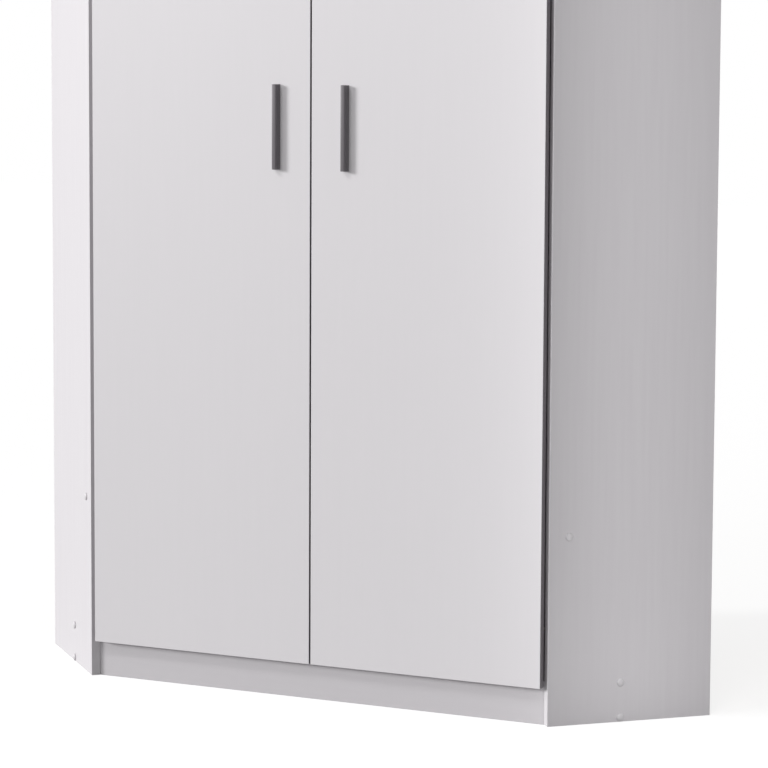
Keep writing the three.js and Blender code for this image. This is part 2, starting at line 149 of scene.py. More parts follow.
# %% Nodes and materials
FACTOR, COLOUR_A, COLOUR_B = 0, 6, 7    # the inputs of a Mix node that mixes colours
MIXED = 2                               # and its output


def wire(tree, node, links):
    """Links sockets of other nodes into a node's inputs."""
    for name, socket in links.items():
        tree.links.new(socket, node.inputs[name])


def add_node(tree, kind, values=None, links=None, **settings):
    """Adds a shader node: its settings, then its input values, then the sockets linked into it."""
    node = tree.nodes.new("ShaderNode" + kind)
    for name, value in settings.items():
        setattr(node, name, value)
    for name, value in (values or {}).items():
        node.inputs[name].default_value = value
    wire(tree, node, links or {})
    return node


def new_material(name, **values):
    """A material with its Principled shader set from keyword values such as Roughness=0.5."""
    material = bpy.data.materials.new(name)
    material.use_nodes = True
    shader = material.node_tree.nodes["Principled BSDF"]
    for socket, value in values.items():
        shader.inputs[socket.replace("_", " ")].default_value = value
    return material, material.node_tree, shader


def shades(dark, light):
    """The two colours of a Mix node, from screen colours."""
    return {COLOUR_A: linear(dark), COLOUR_B: linear(light)}


print(f"{len(bpy.data.materials)} plain materials came with the model")

# %% [markdown]
# No real surface has the same colour all over. The changes could come from a picture, but noise
# that is computed from a point's place needs none, and it has no seams. Its grain is given as a
# real size, and the Mapping node turns that into a scale.

# %% A pattern on the piece's own coordinates
def object_noise(tree, grain, detail=2.0):
    """Noise on the piece's own coordinates, from the size of its grain along each axis, in metres."""
    scale = [1 / length for length in grain]
    place = add_node(tree, "TexCoord")
    mapping = add_node(tree, "Mapping", {"Scale": scale}, {"Vector": place.outputs["Object"]})
    noise = add_node(tree, "TexNoise", {"Scale": 1.0, "Detail": detail}, {"Vector": mapping.outputs[0]})
    return noise.outputs["Fac"]


print(f"a grain of 5 mm is a scale of {1 / (5 * MM):.0f} per metre")

# %% [markdown]
# The boards are chipboard with a melamine face: paper soaked in resin and pressed on with a fine
# texture. To the eye it is white with a trace of violet, and it only has a soft sheen. The doors, the
# upright boards and the plinth are one board, but their copies carry painted light and shade: the
# doors are painted a touch lighter, the upright boards a shade darker, and the plinth darker still, as
# painted shade under the doors. The level boards are a shade greyer than the doors. The pressed paper
# leaves faint streaks along the board. A picture of a board could show them, but it would repeat on a
# door this tall, so they are noise that is stretched along one axis.

# %% White melamine
STREAK_WIDTH = 9 * MM           # coarser than the real ones, so that they show
STREAK_LENGTH = 240 * MM
PORE = 1.6 * MM                 # coarser than the real texture of 0.3 mm, which is too fine to show
PORE_DEPTH = 0.02 * MM
ALONG_X, ALONG_Z = 0, 2


def melamine(name, along, dark, light):
    """White melamine whose streaks run along one axis."""
    material, tree, shader = new_material(name, Roughness=0.46, IOR=1.5)
    grain = [STREAK_WIDTH] * 3
    grain[along] = STREAK_LENGTH
    streaks = object_noise(tree, grain, detail=3.0)
    shade = add_node(tree, "Mix", shades(dark, light), {FACTOR: streaks}, data_type="RGBA")
    pores = object_noise(tree, [PORE] * 3)
    relief = add_node(tree, "Bump", {"Strength": 0.6, "Distance": PORE_DEPTH}, {"Height": pores})
    wire(tree, shader, {"Base Color": shade.outputs[MIXED], "Normal": relief.outputs[0]})
    return material


# painted light and shade: the doors lighter, the upright boards and the plinth darker than one white board
melamine_door_painted_light = melamine("melamine_chipboard_door_painted_light", ALONG_Z, "E8E5E8", "EAE7EA")
melamine_upright_painted_shade = melamine("melamine_chipboard_upright_painted_shade", ALONG_Z, "D8D4D8", "DEDBDE")
melamine_level = melamine("melamine_faced_chipboard_level", ALONG_X, "DBD8DB", "E0DDE0")
melamine_plinth_painted_shade = melamine("melamine_chipboard_plinth_painted_shade", ALONG_X, "D4D0D4", "D8D5D8")
print(f"melamine for doors, upright boards, level boards and plinth, with {PORE / MM} mm pores")

# %% [markdown]
# A thin strip of ABS plastic is glued over each cut edge. It looks smoother than the face, with a
# slight wave along it. The carcass has a white band and the doors a grey one, like the handles. It
# could be a strip of its own, but the joint with the face is too fine to see, so it is a material
# on the boards' narrow faces.

# %% Edge bands
BAND_WAVE = (6 * MM, 6 * MM, 90 * MM)
BAND_DEPTH = 0.03 * MM


def edge_band(name, dark, light):
    """A plastic edge band with a faint cloud in its colour and a wave along the edge."""
    material, tree, shader = new_material(name, Roughness=0.38, IOR=1.5)
    wave = object_noise(tree, BAND_WAVE)
    shade = add_node(tree, "Mix", shades(dark, light), {FACTOR: wave}, data_type="RGBA")
    relief = add_node(tree, "Bump", {"Strength": 0.5, "Distance": BAND_DEPTH}, {"Height": wave})
    wire(tree, shader, {"Base Color": shade.outputs[MIXED], "Normal": relief.outputs[0]})
    return material


white_band = edge_band("white_abs_edge_band", "DAD7DA", "E0DDE0")
grey_band = edge_band("grey_abs_edge_band", "848084", "8A868A")
print("edge bands:", white_band.name, "and", grey_band.name)

# %% [markdown]
# The hidden edges at the back stay raw. They show pressed wood particles with glue between them:
# a dull, rough mix of pale and brown specks. Noise would blur the specks, so they are the cells of a
# cell texture, each with a shade of its own.

# %% Raw chipboard
PARTICLE = 2.2 * MM
PARTICLE_DEPTH = 0.3 * MM
raw_chipboard, tree, shader = new_material("raw_chipboard", Roughness=0.85, IOR=1.5)
place = add_node(tree, "TexCoord")
cells = add_node(tree, "TexVoronoi", {"Scale": 1 / PARTICLE}, {"Vector": place.outputs["Object"]})
tone = add_node(tree, "SeparateColor", links={"Color": cells.outputs["Color"]})
shade = add_node(tree, "Mix", shades("8E6E48", "D2B586"), {FACTOR: tone.outputs[0]}, data_type="RGBA")
relief = add_node(
    tree, "Bump", {"Strength": 0.5, "Distance": PARTICLE_DEPTH}, {"Height": cells.outputs["Distance"]})
wire(tree, shader, {"Base Color": shade.outputs[MIXED], "Normal": relief.outputs[0]})
print(f"raw chipboard with particles of {PARTICLE / MM} mm")

# %% [markdown]
# The back panels are hardboard, 3 mm thick. Inside the wardrobe it is lacquered white, which looks
# even and half matt, with the board's fine texture under it and very faint clouds. One noise could
# do both, but the clouds are about forty times as wide as the texture, so each has its own.

# %% Lacquered hardboard
CLOUD = 60 * MM
LACQUER_DEPTH = 0.03 * MM
lacquered_hardboard, tree, shader = new_material("lacquered_hardboard", Roughness=0.5, IOR=1.5)
cloud = object_noise(tree, [CLOUD] * 3, detail=4.0)
shade = add_node(tree, "Mix", shades("DAD8D8", "E2E0DF"), {FACTOR: cloud}, data_type="RGBA")
pores = object_noise(tree, [PORE] * 3)
relief = add_node(tree, "Bump", {"Strength": 0.6, "Distance": LACQUER_DEPTH}, {"Height": pores})
wire(tree, shader, {"Base Color": shade.outputs[MIXED], "Normal": relief.outputs[0]})
print(f"lacquered hardboard with clouds of {CLOUD / MM:.0f} mm")

# %% [markdown]
# Towards the wall the hardboard is bare brown fibre, which looks dull. The fibres lie in every
# direction, so it is finely flecked and only a little darker in some places than in others. Coarse
# noise alone would look like stains, so a small share of it is added to the fine flecks.

# %% Bare hardboard
FIBRE = 4 * MM                  # longer than the real ones of about 2 mm, which are too short to show
FIBRE_DEPTH = 0.1 * MM
CLOUD_SHARE = 0.25
raw_hardboard, tree, shader = new_material("raw_hardboard", Roughness=0.8, IOR=1.5)
cloud = object_noise(tree, [CLOUD] * 3, detail=5.0)
fleck = object_noise(tree, [FIBRE] * 3, detail=4.0)
total = add_node(tree, "Math", {1: CLOUD_SHARE}, {0: cloud, 2: fleck}, operation="MULTIPLY_ADD")
spread = add_node(tree, "MapRange", {"From Min": 0.35, "From Max": 0.85}, {"Value": total.outputs[0]})
shade = add_node(tree, "Mix", shades("866646", "A58260"), {FACTOR: spread.outputs[0]}, data_type="RGBA")
relief = add_node(tree, "Bump", {"Strength": 0.6, "Distance": FIBRE_DEPTH}, {"Height": fleck})
wire(tree, shader, {"Base Color": shade.outputs[MIXED], "Normal": relief.outputs[0]})
print(f"bare hardboard with flecks of {FIBRE / MM:.0f} mm")

# %% [markdown]
# The handles are moulded bars with a satin paint. To the eye it is a middle grey with a broad, weak
# highlight and the faint grain of sprayed paint. A clear coat over the colour would add a second,
# sharper highlight, as on a car. This paint has none, so its specular level is lowered instead.

# %% Handle paint
PAINT_GRAIN = 1.2 * MM
PAINT_DEPTH = 0.02 * MM
handle_paint, tree, shader = new_material(
    "satin_grey_paint", Roughness=0.45, IOR=1.5, Specular_IOR_Level=0.3)
grain = object_noise(tree, [PAINT_GRAIN] * 3)
shade = add_node(tree, "Mix", shades("767276", "7D797D"), {FACTOR: grain}, data_type="RGBA")
relief = add_node(tree, "Bump", {"Strength": 0.5, "Distance": PAINT_DEPTH}, {"Height": grain})
wire(tree, shader, {"Base Color": shade.outputs[MIXED], "Normal": relief.outputs[0]})
print(f"handle paint with a grain of {PAINT_GRAIN / MM} mm")

# %% [markdown]
# The hinges are pressed steel with nickel plating, which looks warm and bright but not sharp. The
# clothes rail is a steel tube with chrome plating, colder and almost a mirror. One roughness all
# over would look too new, so noise that is stretched the way things rub makes it vary.

# %% Nickel and chrome plating
NICKEL_RUB = (3 * MM, 3 * MM, 20 * MM)
NICKEL_DEPTH = 0.02 * MM
CHROME_RUB = (60 * MM, 4 * MM, 4 * MM)


def plating(name, colour, rub_marks, smoothest, roughest):
    """Plated steel whose roughness varies between two values. It returns the noise as well."""
    material, tree, shader = new_material(name, Base_Color=linear(colour), Metallic=1.0)
    rub = object_noise(tree, rub_marks, detail=3.0)
    roughness = add_node(tree, "MapRange", {"To Min": smoothest, "To Max": roughest}, {"Value": rub})
    wire(tree, shader, {"Roughness": roughness.outputs[0]})
    return material, tree, shader, rub


chrome_plate = plating("chrome_plated_steel", "D6D7D9", CHROME_RUB, smoothest=0.07, roughest=0.14)[0]
nickel_plate, tree, shader, rub = plating(
    "nickel_plated_steel", "C9C6C0", NICKEL_RUB, smoothest=0.2, roughest=0.32)
relief = add_node(tree, "Bump", {"Strength": 0.4, "Distance": NICKEL_DEPTH}, {"Height": rub})
wire(tree, shader, {"Normal": relief.outputs[0]})
print("platings:", chrome_plate.name, "and", nickel_plate.name)

# %% [markdown]
# The rail's brackets, the handles' screws and the nails are plated with zinc, a darker grey than
# nickel, with a fine grain. The caps are white polyethylene: a little shinier than the panel, so the
# eye finds them by their highlights. The stop pads are soft PVC. As clear as glass, they would be
# lost on the white door, so only a part of the light goes through them.

# %% Zinc plating and plastics
ZINC_GRAIN = 0.8 * MM           # coarser than the real grain, which is too fine to show
CAP_CLOUD = 5 * MM
PAD_GRAIN = 2 * MM
FINE_DEPTH = 0.02 * MM

zinc_plate, tree, shader = new_material(
    "zinc_plated_steel", Base_Color=linear("A9A9A6"), Metallic=1.0, Roughness=0.34)
grain = object_noise(tree, [ZINC_GRAIN] * 3)
relief = add_node(tree, "Bump", {"Strength": 0.4, "Distance": FINE_DEPTH}, {"Height": grain})
wire(tree, shader, {"Normal": relief.outputs[0]})

cap_plastic, tree, shader = new_material("white_polyethylene", Roughness=0.34, IOR=1.52)
cloud = object_noise(tree, [CAP_CLOUD] * 3)
shade = add_node(tree, "Mix", shades("D9D6D9", "DFDCDF"), {FACTOR: cloud}, data_type="RGBA")
wire(tree, shader, {"Base Color": shade.outputs[MIXED]})

pad_plastic, tree, shader = new_material(
    "soft_clear_pvc", Base_Color=linear("E9E9E6"), Roughness=0.4, IOR=1.45, Transmission_Weight=0.6)
grain = object_noise(tree, [PAD_GRAIN] * 3)
relief = add_node(tree, "Bump", {"Strength": 0.4, "Distance": FINE_DEPTH}, {"Height": grain})
wire(tree, shader, {"Normal": relief.outputs[0]})
print(f"{len(bpy.data.materials)} materials in all, with the model's own")

# %% [markdown]
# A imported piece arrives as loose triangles, which can't be bevelled. A copy has its doubled corners
# merged and its triangles joined to flat faces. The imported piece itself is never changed: the
# finished copy stands for it.

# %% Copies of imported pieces
DOUBLED = 0.002 * MM            # corners closer than this are one
FLAT = math.radians(0.5)


def merged_copy(node):
    """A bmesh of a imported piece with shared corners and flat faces."""
    mesh = bmesh.new()
    mesh.from_mesh(nodes[node].data)
    bmesh.ops.remove_doubles(mesh, verts=mesh.verts, dist=DOUBLED)
    bmesh.ops.dissolve_limit(mesh, angle_limit=FLAT, verts=mesh.verts, edges=mesh.edges)
    return mesh


def make_piece(name, mesh, materials, body, replaces=(), smooth=None):
    """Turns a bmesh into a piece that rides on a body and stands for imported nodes.

    Where smooth is given, the shading runs over edges that turn by fewer degrees."""
    data = bpy.data.meshes.new(name)
    mesh.to_mesh(data)
    mesh.free()
    for material in materials:
        data.materials.append(material)
    if smooth is not None:
        data.polygons.foreach_set("use_smooth", [True] * len(data.polygons))
        data.set_sharp_from_angle(angle=math.radians(smooth))
    piece = bpy.data.objects.new(name, data)
    bpy.context.collection.objects.link(piece)
    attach(piece, body)
    if replaces:
        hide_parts(*replaces)


sample = merged_copy("left_door")
print(f"a copy of the left door has {len(sample.faces)} faces")
sample.free()

# %% [markdown]
# No real edge is perfectly sharp: the edge-banding machine leaves a tiny round that catches the
# light. A Bevel modifier would do it live. The operator is used instead, because it can be kept away
# from the rims of drilled holes, which are cut clean.

# %% Broken edges
SHARP = math.radians(25)


def bevel(mesh, edges, width, segments=2, clamp=True):
    """Rounds some edges of a bmesh."""
    bmesh.ops.bevel(
        mesh, geom=edges, offset=width, offset_type="OFFSET", segments=segments, profile=0.5,
        affect="EDGES", material=-1, clamp_overlap=clamp)


def break_edges(mesh, width, small_face=0.0, clamp=True):
    """Rounds the sharp edges whose two faces are both larger than some area."""
    sharp = [
        edge for edge in mesh.edges
        if len(edge.link_faces) == 2 and edge.calc_face_angle() > SHARP
        and min(face.calc_area() for face in edge.link_faces) > small_face
    ]
    bevel(mesh, sharp, width, clamp=clamp)


sample = merged_copy("plinth")
break_edges(sample, MM)
print(f"with its edges broken, the plinth has {len(sample.faces)} faces")
sample.free()

# %% [markdown]
# Every board gets the same treatment. The faces that look along its thickness are melamine. The
# narrow ones between them are edge band, or raw chipboard where they look towards the back. Which
# is which could be picked by hand, but a face's direction tells it for all twelve boards.

# %% Boards
SIDES = {"left": -1, "right": 1}
LEVEL_BOARDS = ("bottom_board", "top_board", "lower_shelf", "hat_shelf", "base_rail", "centre_support")
BROKEN_EDGE = 0.6 * MM
SMALL_FACE = 150 * MM * MM      # the walls of drilled holes are smaller, so their edges stay sharp
MOSTLY = 0.5                    # a face that turns less than 60 degrees away from a direction faces it


def board_thickness(mesh):
    """The direction of a board's thickness: that of its largest face."""
    return max(mesh.faces, key=lambda face: face.calc_area()).normal.copy()


def finish_board(node, face_material, edge_material, raw_back=True):
    """A board with broken edges, melamine faces, banded edges and perhaps raw ones at the back."""
    mesh = merged_copy(node)
    through = board_thickness(mesh)
    break_edges(mesh, BROKEN_EDGE, small_face=SMALL_FACE)
    for face in mesh.faces:
        if abs(face.normal.dot(through)) > MOSTLY:
            face.material_index = 0
        elif raw_back and face.normal.y > MOSTLY:
            face.material_index = 2
        else:
            face.material_index = 1
    materials = (face_material, edge_material, raw_chipboard)
    make_piece(node + "_board", mesh, materials, nodes[node]["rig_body"], [node])


for node in LEVEL_BOARDS:
    finish_board(node, melamine_level, white_band)
finish_board("plinth", melamine_plinth_painted_shade, white_band)
finish_board("corner_post", melamine_upright_painted_shade, white_band)
for word in SIDES:
    finish_board(f"{word}_side", melamine_upright_painted_shade, white_band)
    finish_board(f"{word}_door", melamine_door_painted_light, grey_band, raw_back=False)
print(f"boards with edges broken by {BROKEN_EDGE / MM} mm")

# %% [markdown]
# A back panel is one thin sheet with two different faces. It could be two sheets glued together, but
# a material for each face is enough: lacquer on the face that looks into the wardrobe, and bare
# fibre on all the rest.

# %% Back panels
def slanting_ways(side):
    """The way out of a side panel, and the way along it to the wall, on the left or the right."""
    return Vector((side, -1, 0)).normalized(), Vector((side, 1, 0)).normalized()


def finish_back_panel(word, side):
    """A hardboard back, lacquered on the face that looks into the wardrobe."""
    node = f"{word}_back_panel"
    mesh = merged_copy(node)
    to_wall = slanting_ways(side)[1]
    for face in mesh.faces:
        face.material_index = 0 if face.normal.dot(to_wall) < -MOSTLY else 1
    materials = (lacquered_hardboard, raw_hardboard)
    make_piece(f"{word}_back_hardboard", mesh, materials, "carcass", [node])


for word, side in SIDES.items():
    finish_back_panel(word, side)
print(f"{len(SIDES)} back panels")

# %% [markdown]
# A handle is an upright bar with a crowned front over a cove on each side. It could be drawn again
# from its section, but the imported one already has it. Its ends are square, so they only get a small
# round, and smooth shading runs over the curves.

# %% Handles
END_ANGLE = math.radians(80)
END_ROUND = 0.4 * MM


def end_edges(mesh):
    """The edges round a handle's two ends: the sharp ones that lie level."""
    return [
        edge for edge in mesh.edges
        if len(edge.link_faces) == 2 and edge.calc_face_angle() > END_ANGLE
        and abs(edge.verts[0].co.z - edge.verts[1].co.z) < MM
    ]


for word in SIDES:
    node = f"{word}_handle"
    mesh = merged_copy(node)
    bevel(mesh, end_edges(mesh), END_ROUND)
    make_piece(
        f"{word}_bar_handle", mesh, (handle_paint,), f"{word}_door", [node], smooth=35)
handle_low, handle_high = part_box("left_handle")
print(f"handles {(handle_high.z - handle_low.z) / MM:.0f} mm tall")

# %% [markdown]
# Screws, caps, pads and cups sit on boards that face in several directions. Each could be drawn
# where it belongs, but it is easier to draw it upright on a work bench, with Z pointing out of the
# surface that carries it, and to set it in place by a matrix. All sizes on the bench are in
# millimetres.

# %% A work bench for small fittings
UP = Vector((0, 0, 1))


def set_on(origin, outwards, up=UP):
    """A matrix that puts the bench's Z along a surface's normal and its Y upwards."""
    z_axis = Vector(outwards).normalized()
    y_axis = (up - z_axis * up.dot(z_axis)).normalized()
    x_axis = y_axis.cross(z_axis)
    turned = Matrix((x_axis, y_axis, z_axis)).transposed().to_4x4()
    return Matrix.Translation(origin) @ turned


def joined(parts, matrix):
    """One bmesh from several shapes on the bench, set in place."""
    whole = bmesh.new()
    for part in parts:
        data = bpy.data.meshes.new("bench")
        part.to_mesh(data)
        part.free()
        whole.from_mesh(data)
        bpy.data.meshes.remove(data)
    bmesh.ops.transform(whole, matrix=matrix, verts=whole.verts)
    return whole


def reach(node, direction):
    """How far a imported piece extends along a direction: its lowest and highest place, in metres."""
    along = [vertex.co.dot(direction) for vertex in nodes[node].data.vertices]
    return min(along), max(along)


near, far = reach("right_side", slanting_ways(1)[1])
print(f"a side panel is {(far - near) / MM:.0f} mm deep")

# %% [markdown]
# Most of the fittings are round. A cylinder could be scaled and cut, but spin turns a profile of a
# few points into a closed round shape in one go, as a lathe does. Its doubled points are merged and
# its faces turned outwards, because spin can leave them inside out.

# %% Turned shapes
def lathe(profile, segments, edge=0.0):
    """Spins (radius, height) points about Z, and rounds the sharp rings where an edge is given."""
    mesh = bmesh.new()
    points = [mesh.verts.new((radius * MM, 0, rise * MM)) for radius, rise in profile]
    edges = [mesh.edges.new(pair) for pair in zip(points, points[1:])]
    bmesh.ops.spin(
        mesh, geom=points + edges, cent=(0, 0, 0), axis=UP, angle=2 * math.pi, steps=segments,
        use_merge=True)
    bmesh.ops.remove_doubles(mesh, verts=mesh.verts, dist=DOUBLED)
    bmesh.ops.recalc_face_normals(mesh, faces=mesh.faces)
    if edge:
        break_edges(mesh, edge * MM)
    return mesh


sample = lathe([(0, 2), (5, 2), (5, 0), (0, 0)], segments=32)
print(f"a turned disc has {len(sample.faces)} faces")
sample.free()

# %% [markdown]
# A connecting screw joins each board to the side panels, and a domed plastic cap hides its head. The
# cap's thin upright rim throws a fine shadow line on the panel, which a plain dome wouldn't. The
# screw could be left out, since nobody sees it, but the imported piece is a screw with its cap. So it
# has its head, neck, thread and point too, and shares the cap's finish.

# %% Connecting screws and caps
CAP_RADIUS = 7.0
CAP_RISE = 4.0
CAP_RIM = 0.8
CAP_FOOT_INSET = 0.4
CAP_FOOT_RISE = 0.2
CAP_GAP = 0.1
CAP_STEPS = 7
HEAD_RADIUS, HEAD_END = 4.4, 2.2
NECK_RADIUS, NECK_END = 3.4, 16
THREAD_RADIUS, THREAD_START, THREAD_END = 2.3, 16.4, 46
POINT_END = 50
SCREW_LEVELS = ("base_rail", "bottom_board", "lower_shelf", "hat_shelf", "top_board")


def cap_profile():
    """Half of the cap's section: its dome, then the rim down to the panel."""
    dome = []
    for step in range(CAP_STEPS + 1):
        angle = math.pi / 2 * (1 - step / CAP_STEPS)
        dome.append((CAP_RADIUS * math.cos(angle), CAP_RIM + (CAP_RISE - CAP_RIM) * math.sin(angle)))
    return dome + [(CAP_RADIUS, CAP_FOOT_RISE), (CAP_RADIUS - CAP_FOOT_INSET, 0.0), (0, 0.0)]


def screw_profile():
    """Half of the screw's section, below the panel's surface."""
    return [
        (0, 0), (HEAD_RADIUS, 0), (NECK_RADIUS, -HEAD_END), (NECK_RADIUS, -NECK_END),
        (THREAD_RADIUS, -THREAD_START), (THREAD_RADIUS, -THREAD_END), (0, -POINT_END)]


for word, side in SIDES.items():
    outwards, along = slanting_ways(side)
    panel_face = reach(f"{word}_side", outwards)[1]
    for level in SCREW_LEVELS:
        node = f"{word}_screw_{level}"
        low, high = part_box(node)
        seat = along * (sum(reach(node, along)) / 2) + outwards * (panel_face + CAP_GAP * MM)
        seat.z = (low.z + high.z) / 2
        parts = [lathe(cap_profile(), segments=40), lathe(screw_profile(), segments=20)]
        mesh = joined(parts, set_on(seat, outwards))
        make_piece(f"{word}_cap_{level}", mesh, (cap_plastic,), "carcass", [node], smooth=50)
print(f"{len(SIDES) * len(SCREW_LEVELS)} caps on the side panels")

# %% [markdown]
# Clear stop pads sit on the back of each door and keep it off the carcass. They are small lenses. A
# ball cut in half would be too tall, so a lens is spun from a flat profile, written as shares of the
# packed pad's radius and rise.

# %% Stop pads
LENS_SHARES = ((0, 1), (0.45, 0.93), (0.8, 0.62), (1, 0.15), (1, 0), (0, 0))
for word in SIDES:
    for level in ("low", "high"):
        node = f"{word}_pad_{level}"
        low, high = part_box(node)
        pad_radius = (high.x - low.x) / 2 / MM
        pad_rise = (high.y - low.y) / MM
        middle = (low + high) / 2
        middle.y = low.y
        lens = [(across * pad_radius, rise * pad_rise) for across, rise in LENS_SHARES]
        mesh = joined([lathe(lens, segments=28)], set_on(middle, (0, 1, 0)))
        make_piece(
            f"{word}_clear_pad_{level}", mesh, (pad_plastic,), f"{word}_door", [node], smooth=40)
print(f"stop pads {2 * pad_radius:.1f} mm across and {pad_rise:.1f} mm thick")

# %% [markdown]
# The clothes rail is a drawn steel tube with square-cut ends. A solid bar would look the same while
# its ends lie in their sockets, but the real one is hollow, so the section of its wall is spun round
# the axis.

# %% Clothes rail
RAIL_WALL = 1.2
RAIL_EDGE = 0.3
rail_low, rail_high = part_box("clothes_rail")
rail_middle = (rail_low + rail_high) / 2
rail_radius = (rail_high.z - rail_low.z) / 2 / MM
rail_half = (rail_high.x - rail_low.x) / 2 / MM
rail_bore = rail_radius - RAIL_WALL
rail_section = [
    (rail_radius, -rail_half), (rail_radius, rail_half), (rail_bore, rail_half), (rail_bore, -rail_half),
    (rail_radius, -rail_half)]
mesh = joined([lathe(rail_section, segments=64, edge=RAIL_EDGE)], set_on(rail_middle, (1, 0, 0)))
make_piece("clothes_rail_tube", mesh, (chrome_plate,), "carcass", ["clothes_rail"], smooth=30)
print(f"a rail {2 * rail_half:.0f} mm long and {2 * rail_radius:.0f} mm thick")

# %% [markdown]
# Every small screw has a cross recess. It could be cut out with a Boolean, which leaves untidy
# faces. Here it starts as a grid of three by three squares with its inner lines pushed together. The
# five squares of the cross are extruded, then lowered and narrowed.

# %% Cross recess
ARM_SHARE = 0.5                 # how far the grid's inner lines are pushed together
FLOOR_SHARE = 0.6               # the recess's floor against its mouth


def new_vertices(made):
    """The vertices among what an operator has made."""
    return [item for item in made if isinstance(item, bmesh.types.BMVert)]


def cross_grid(mesh, half):
    """A grid with a narrow middle row and column. It returns its outer edges and the cross."""
    bmesh.ops.create_grid(mesh, x_segments=3, y_segments=3, size=half)
    for vertex in mesh.verts:
        for axis in (0, 1):
            if abs(vertex.co[axis]) < half / 2:
                vertex.co[axis] *= ARM_SHARE
    square = [edge for edge in mesh.edges if edge.is_boundary]
    middles = {face: face.calc_center_median() for face in mesh.faces}
    cross = [face for face, middle in middles.items() if min(abs(middle.x), abs(middle.y)) < half / 100]
    return square, cross


def sink(mesh, faces, depth):
    """Lowers and narrows some faces, with walls round them."""
    corners = new_vertices(bmesh.ops.extrude_face_region(mesh, geom=faces)["geom"])
    bmesh.ops.delete(mesh, geom=faces, context="FACES_ONLY")
    bmesh.ops.scale(mesh, vec=(FLOOR_SHARE, FLOOR_SHARE, 1), verts=corners)
    bmesh.ops.translate(mesh, vec=(0, 0, -depth), verts=corners)


sample = bmesh.new()
sink(sample, cross_grid(sample, MM)[1], MM)
print(f"a recess has {len(sample.faces)} faces, with the squares at its corners")
sample.free()

# %% [markdown]
# The head round the recess has a flat top, and a crown that falls away to the widest ring. A ball
# that is pressed flat would have no flat top. So the grid's outer edge is bridged to a circle, and
# the circle is extruded twice: outwards and down, then straight down.

# %% Screw heads
TOP_SHARE = 0.78                # the flat top, as a share of the head's radius
RECESS_SHARE = 0.52             # half of the cross's length, on the same scale
CROWN_SHARE = 0.45              # of the head's rise, between the flat top and the widest ring
DEPTH_SHARE = 0.9               # of the head's rise
HEAD_STEPS = 24


def screw_head(radius, rise, turn=0.0):
    """A round head with a cross recess that is turned by some degrees, standing on the bench."""
    mesh = bmesh.new()
    square, cross = cross_grid(mesh, RECESS_SHARE * radius * MM)
    circle = bmesh.ops.create_circle(mesh, segments=HEAD_STEPS, radius=TOP_SHARE * radius * MM)["verts"]
    ring = [edge for edge in mesh.edges if edge.verts[0] in circle and edge.verts[1] in circle]
    bmesh.ops.bridge_loops(mesh, edges=square + ring)
    for scale, fall in ((1 / TOP_SHARE, CROWN_SHARE), (1.0, 1 - CROWN_SHARE)):
        made = bmesh.ops.extrude_edge_only(mesh, edges=ring)["geom"]
        ring = [item for item in made if isinstance(item, bmesh.types.BMEdge) and item.is_boundary]
        bmesh.ops.scale(mesh, vec=(scale, scale, 1), verts=new_vertices(made))
        bmesh.ops.translate(mesh, vec=(0, 0, -fall * rise * MM), verts=new_vertices(made))
    sink(mesh, cross, DEPTH_SHARE * rise * MM)
    bmesh.ops.translate(mesh, vec=(0, 0, rise * MM), verts=mesh.verts)
    turned = Matrix.Rotation(math.radians(turn), 3, "Z")
    bmesh.ops.rotate(mesh, cent=(0, 0, 0), matrix=turned, verts=mesh.verts)
    bmesh.ops.recalc_face_normals(mesh, faces=mesh.faces)
    return mesh


sample = screw_head(radius=4, rise=1)
print(f"a screw head has {len(sample.faces)} faces")
sample.free()

# %% [markdown]
# Some fittings have flat parts: the foot of a rail bracket, the ears of a hinge cup. Their outlines
# could be drawn point by point, but a cube with bevelled corners gives the same shape. The upright
# corners can be rounded first, and then all sharp edges are softened.

# %% Blocks on the bench
CORNER_STEPS = 8


def block(width, length, low, high, edge, corner=0.0):
    """A plate or bar on the bench, with round upright corners and soft edges."""
    mesh = bmesh.new()
    bmesh.ops.create_cube(mesh, size=MM)
    bmesh.ops.scale(mesh, vec=(width, length, high - low), verts=mesh.verts)
    bmesh.ops.translate(mesh, vec=(0, 0, (low + high) / 2 * MM), verts=mesh.verts)
    if corner:
        half = (high - low) / 2 * MM
        uprights = [edge for edge in mesh.edges if abs(edge.verts[0].co.z - edge.verts[1].co.z) > half]
        bevel(mesh, uprights, corner * MM, segments=CORNER_STEPS, clamp=False)
    break_edges(mesh, edge * MM)
    return mesh


def moved(mesh, x=0, y=0, z=0):
    """The same shape shifted on the bench."""
    bmesh.ops.translate(mesh, vec=(x * MM, y * MM, z * MM), verts=mesh.verts)
    return mesh


sample = block(width=10, length=20, low=0, high=3, edge=0.5)
print(f"a block has {len(sample.faces)} faces")
sample.free()

# %% [markdown]
# The rail's ends lie in two cast sockets under the hat shelf. Each is a round cup, a stem and a foot
# plate with two screws. They could be one extruded outline, but a real casting has a round cup, so
# it is spun and set into the stem.

# %% Rail brackets
SOCKET_WALL = 2.5
SOCKET_DEPTH = 14
SOCKET_PLAY = 0.3
SOCKET_EDGE = 0.8
FOOT_THICK = 3
FOOT_EDGE = 0.6
FOOT_CORNER = 6
FOOT_SCREW = (3.8, 1.2)         # radius and rise of its head, as for the other screws
FOOT_SCREW_PLACE = 14
STEM_WIDTH = 20
STEM_START = 2                  # inside the foot plate
STEM_GAP = 1.2                  # between its end and the rail


def rail_socket(side):
    """The round cup for the rail's end, in place."""
    inner = rail_radius + SOCKET_PLAY
    outer = inner + SOCKET_WALL
    bottom = SOCKET_DEPTH + SOCKET_WALL
    profile = [
        (inner, 0), (outer, 0), (outer, bottom), (0, bottom), (0, SOCKET_DEPTH), (inner, SOCKET_DEPTH),
        (inner, 0)]
    mouth = rail_middle + Vector((side * (rail_half - SOCKET_DEPTH + SOCKET_PLAY) * MM, 0, 0))
    return joined([lathe(profile, segments=48, edge=SOCKET_EDGE)], set_on(mouth, (side, 0, 0)))


